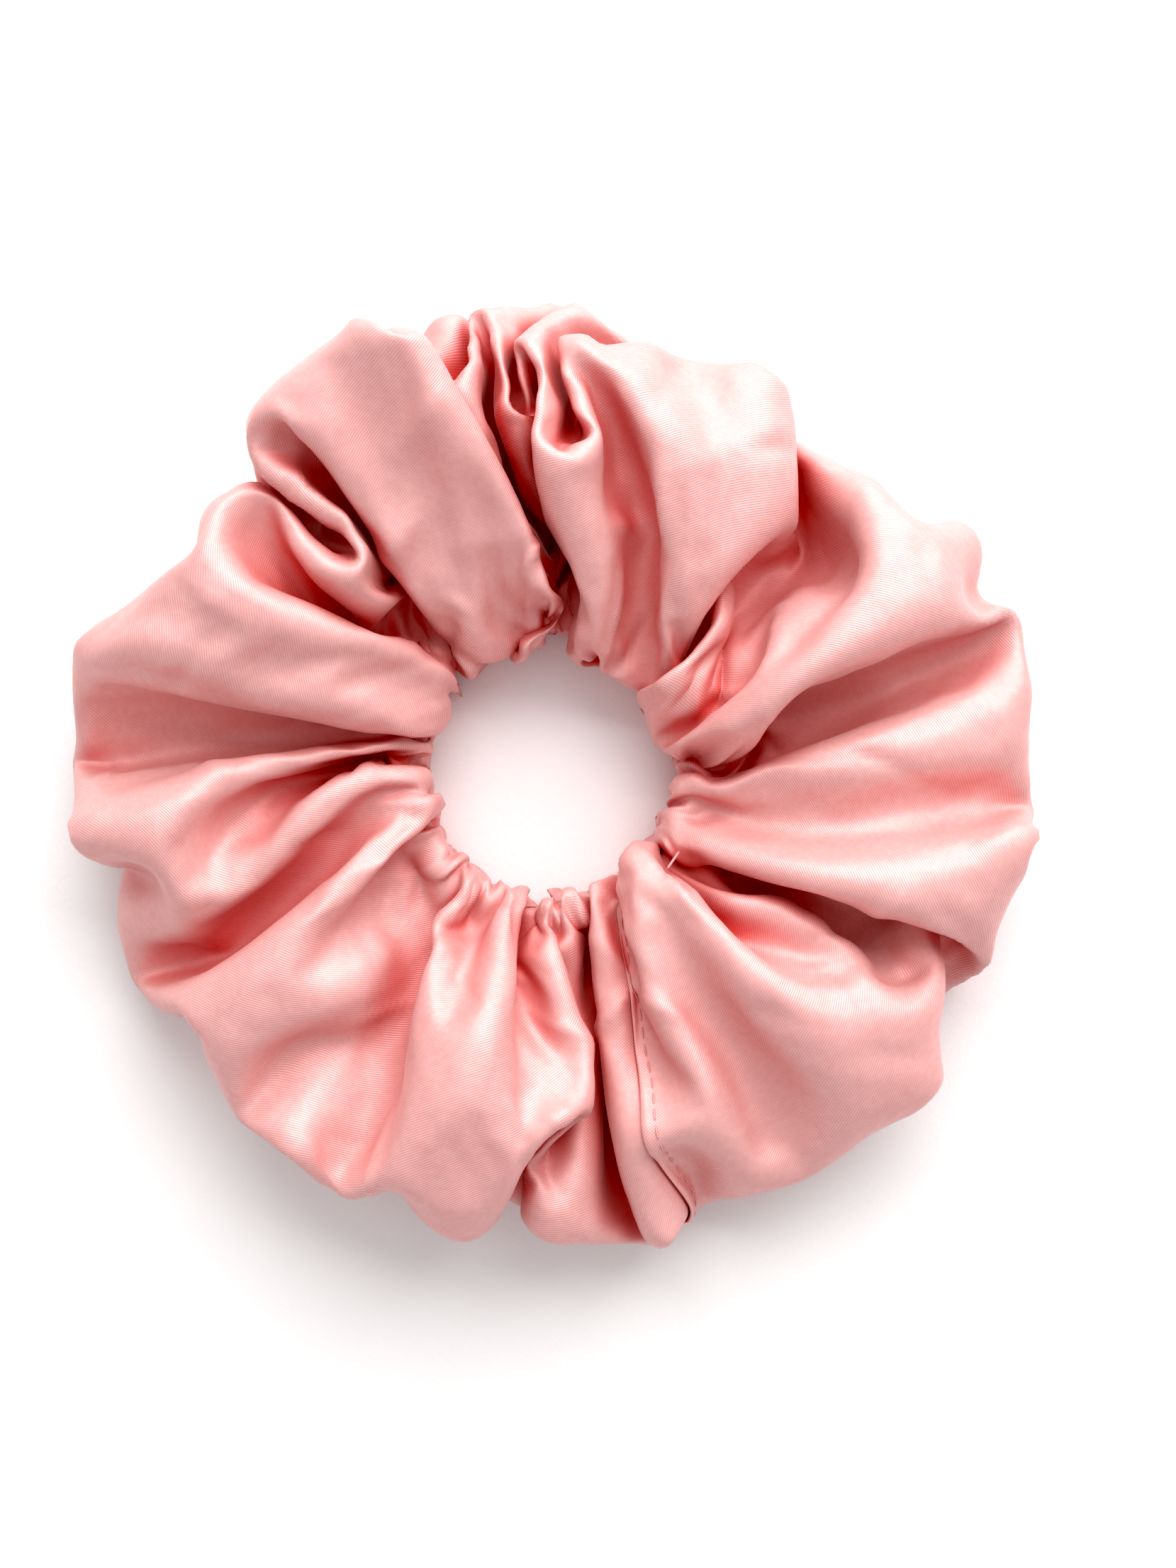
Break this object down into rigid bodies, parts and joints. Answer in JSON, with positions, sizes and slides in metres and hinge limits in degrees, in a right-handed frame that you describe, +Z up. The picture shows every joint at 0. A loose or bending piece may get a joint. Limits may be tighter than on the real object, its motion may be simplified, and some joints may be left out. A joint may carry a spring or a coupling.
{
  "type": "scrunchie",
  "caption": "Hair scrunchie lying flat: a gathered satin tube in soft puffs round a ring of flat elastic, with a round hair opening.",
  "frame": {"origin": "middle of the outline at rest, on the surface that the scrunchie lies on", "axes": "+Z up along the hair opening, out of the surface it lies on; +X and +Y across the ring, with the closing seam at 308 degrees from +X, anticlockwise"},
  "size_m": [0.1389, 0.1386, 0.0343],
  "materials": {
    "satin": "dusty pink polyester satin, right side out",
    "satin_inside": "dull wrong side of the same satin",
    "elastic": "off-white braided flat elastic",
    "thread": "matching polyester sewing thread"
  },
  "bodies": {
    "root": {"cover_puff_01": "satin", "elastic_band": "elastic", "elastic_overlap": "elastic", "elastic_join_stitches": "thread", "long_seam_allowance": "satin_inside", "long_seam_thread": "thread"},
    "gather_02": {"cover_puff_02": "satin"},
    "gather_03": {"cover_puff_03": "satin"},
    "gather_04": {"cover_puff_04": "satin"},
    "gather_05": {"cover_puff_05": "satin"},
    "gather_06": {"cover_puff_06": "satin"},
    "gather_07": {"cover_puff_07": "satin"},
    "gather_08": {"cover_puff_08": "satin"},
    "gather_09": {"cover_puff_09": "satin"},
    "gather_10": {"cover_puff_10": "satin"},
    "gather_11": {"cover_puff_11": "satin"},
    "gather_12": {"cover_puff_12": "satin"},
    "gather_13": {"cover_puff_13": "satin"},
    "closing_end": {"tucked_end": "satin_inside", "closing_seam_thread": "thread"}
  },
  "joints": [
    {"name": "ring_stretch", "type": "slide", "parent": "root", "child": "gather_02", "axis": [0.6428, 0.766, 0], "range_m": [0, 0.00832], "stiffness_N_per_m": 200, "deforming": ["elastic_band", "long_seam_allowance", "long_seam_thread"]},
    {"name": "stretch_02", "type": "slide", "parent": "gather_02", "child": "gather_03", "axis": [0.284, 0.9588, 0], "range_m": [0, 0.00797], "stiffness_N_per_m": 208.6},
    {"name": "stretch_03", "type": "slide", "parent": "gather_03", "child": "gather_04", "axis": [-0.1305, 0.9914, 0], "range_m": [0, 0.00866], "stiffness_N_per_m": 192.1},
    {"name": "stretch_04", "type": "slide", "parent": "gather_04", "child": "gather_05", "axis": [-0.5592, 0.829, 0], "range_m": [0, 0.00968], "stiffness_N_per_m": 171.9},
    {"name": "stretch_05", "type": "slide", "parent": "gather_05", "child": "gather_06", "axis": [-0.9205, 0.3907, 0], "range_m": [0, 0.01302], "stiffness_N_per_m": 127.7},
    {"name": "stretch_06", "type": "slide", "parent": "gather_06", "child": "gather_07", "axis": [-0.9816, -0.1908, 0], "range_m": [0, 0.01035], "stiffness_N_per_m": 160.7},
    {"name": "stretch_07", "type": "slide", "parent": "gather_07", "child": "gather_08", "axis": [-0.749, -0.6626, 0], "range_m": [0, 0.01069], "stiffness_N_per_m": 155.6},
    {"name": "stretch_08", "type": "slide", "parent": "gather_08", "child": "gather_09", "axis": [-0.3007, -0.9537, 0], "range_m": [0, 0.01069], "stiffness_N_per_m": 155.6},
    {"name": "stretch_09", "type": "slide", "parent": "gather_09", "child": "gather_10", "axis": [0.1305, -0.9914, 0], "range_m": [0, 0.0066], "stiffness_N_per_m": 251.9},
    {"name": "stretch_10", "type": "slide", "parent": "gather_10", "child": "gather_11", "axis": [0.5373, -0.8434, 0], "range_m": [0, 0.01069], "stiffness_N_per_m": 155.6},
    {"name": "stretch_11", "type": "slide", "parent": "gather_11", "child": "gather_12", "axis": [0.9063, -0.4226, 0], "range_m": [0, 0.0117], "stiffness_N_per_m": 142.2},
    {"name": "stretch_12", "type": "slide", "parent": "gather_12", "child": "gather_13", "axis": [0.999, 0.0436, 0], "range_m": [0, 0.00729], "stiffness_N_per_m": 228.2},
    {"name": "stretch_13", "type": "slide", "parent": "gather_13", "child": "closing_end", "axis": [0.9026, 0.4305, 0], "range_m": [0, 0.00866], "stiffness_N_per_m": 192.1}
  ],
  "couplings": [
    {"joint": "stretch_02", "follows": "ring_stretch", "ratio": 0.95891},
    {"joint": "stretch_03", "follows": "ring_stretch", "ratio": 1.041},
    {"joint": "stretch_04", "follows": "ring_stretch", "ratio": 1.1636},
    {"joint": "stretch_05", "follows": "ring_stretch", "ratio": 1.5659},
    {"joint": "stretch_06", "follows": "ring_stretch", "ratio": 1.2449},
    {"joint": "stretch_07", "follows": "ring_stretch", "ratio": 1.2853},
    {"joint": "stretch_08", "follows": "ring_stretch", "ratio": 1.2853},
    {"joint": "stretch_09", "follows": "ring_stretch", "ratio": 0.79384},
    {"joint": "stretch_10", "follows": "ring_stretch", "ratio": 1.2853},
    {"joint": "stretch_11", "follows": "ring_stretch", "ratio": 1.4062},
    {"joint": "stretch_12", "follows": "ring_stretch", "ratio": 0.8765},
    {"joint": "stretch_13", "follows": "ring_stretch", "ratio": 1.041}
  ]
}
